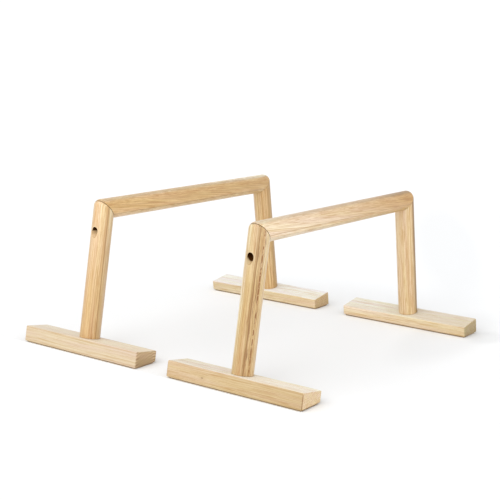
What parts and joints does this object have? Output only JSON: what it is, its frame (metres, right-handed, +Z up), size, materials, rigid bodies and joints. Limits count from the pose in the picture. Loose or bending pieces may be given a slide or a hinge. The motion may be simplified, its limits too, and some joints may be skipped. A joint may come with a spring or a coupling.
{
  "type": "parallel bars",
  "caption": "Free-standing pair of low wooden exercise bars: round handles mitred to splayed round uprights on long block feet.",
  "frame": {"origin": "on the floor, midway between the two bars and midway along them", "axes": "+X along the handles towards the rear end, +Y towards the left bar, +Z up from the floor"},
  "size_m": [0.6646, 0.667, 0.2963],
  "materials": {
    "handle_beech": "satin",
    "upright_beech": "satin",
    "foot_beech": "satin",
    "dowel_beech": "matte",
    "screw_steel": "satin",
    "pad_rubber": "matte"
  },
  "bodies": {
    "left_bar": {"left_handle": "handle_beech", "left_front_upright": "upright_beech", "left_front_foot": "foot_beech", "left_front_grip_pad": "pad_rubber", "left_front_mitre_screw": "screw_steel", "left_front_mitre_dowel": "dowel_beech", "left_front_foot_screw": "screw_steel", "left_front_foot_dowel": "dowel_beech", "left_rear_upright": "upright_beech", "left_rear_foot": "foot_beech", "left_rear_grip_pad": "pad_rubber", "left_rear_mitre_screw": "screw_steel", "left_rear_mitre_dowel": "dowel_beech", "left_rear_foot_screw": "screw_steel", "left_rear_foot_dowel": "dowel_beech"},
    "right_bar": {"right_handle": "handle_beech", "right_front_upright": "upright_beech", "right_front_foot": "foot_beech", "right_front_grip_pad": "pad_rubber", "right_front_mitre_screw": "screw_steel", "right_front_mitre_dowel": "dowel_beech", "right_front_foot_screw": "screw_steel", "right_front_foot_dowel": "dowel_beech", "right_rear_upright": "upright_beech", "right_rear_foot": "foot_beech", "right_rear_grip_pad": "pad_rubber", "right_rear_mitre_screw": "screw_steel", "right_rear_mitre_dowel": "dowel_beech", "right_rear_foot_screw": "screw_steel", "right_rear_foot_dowel": "dowel_beech"}
  },
  "joints": [
    {"name": "bar_spacing", "type": "slide", "parent": "left_bar", "child": "right_bar", "axis": [0, -1, 0], "range_m": [-0.06, 0.33]}
  ]
}
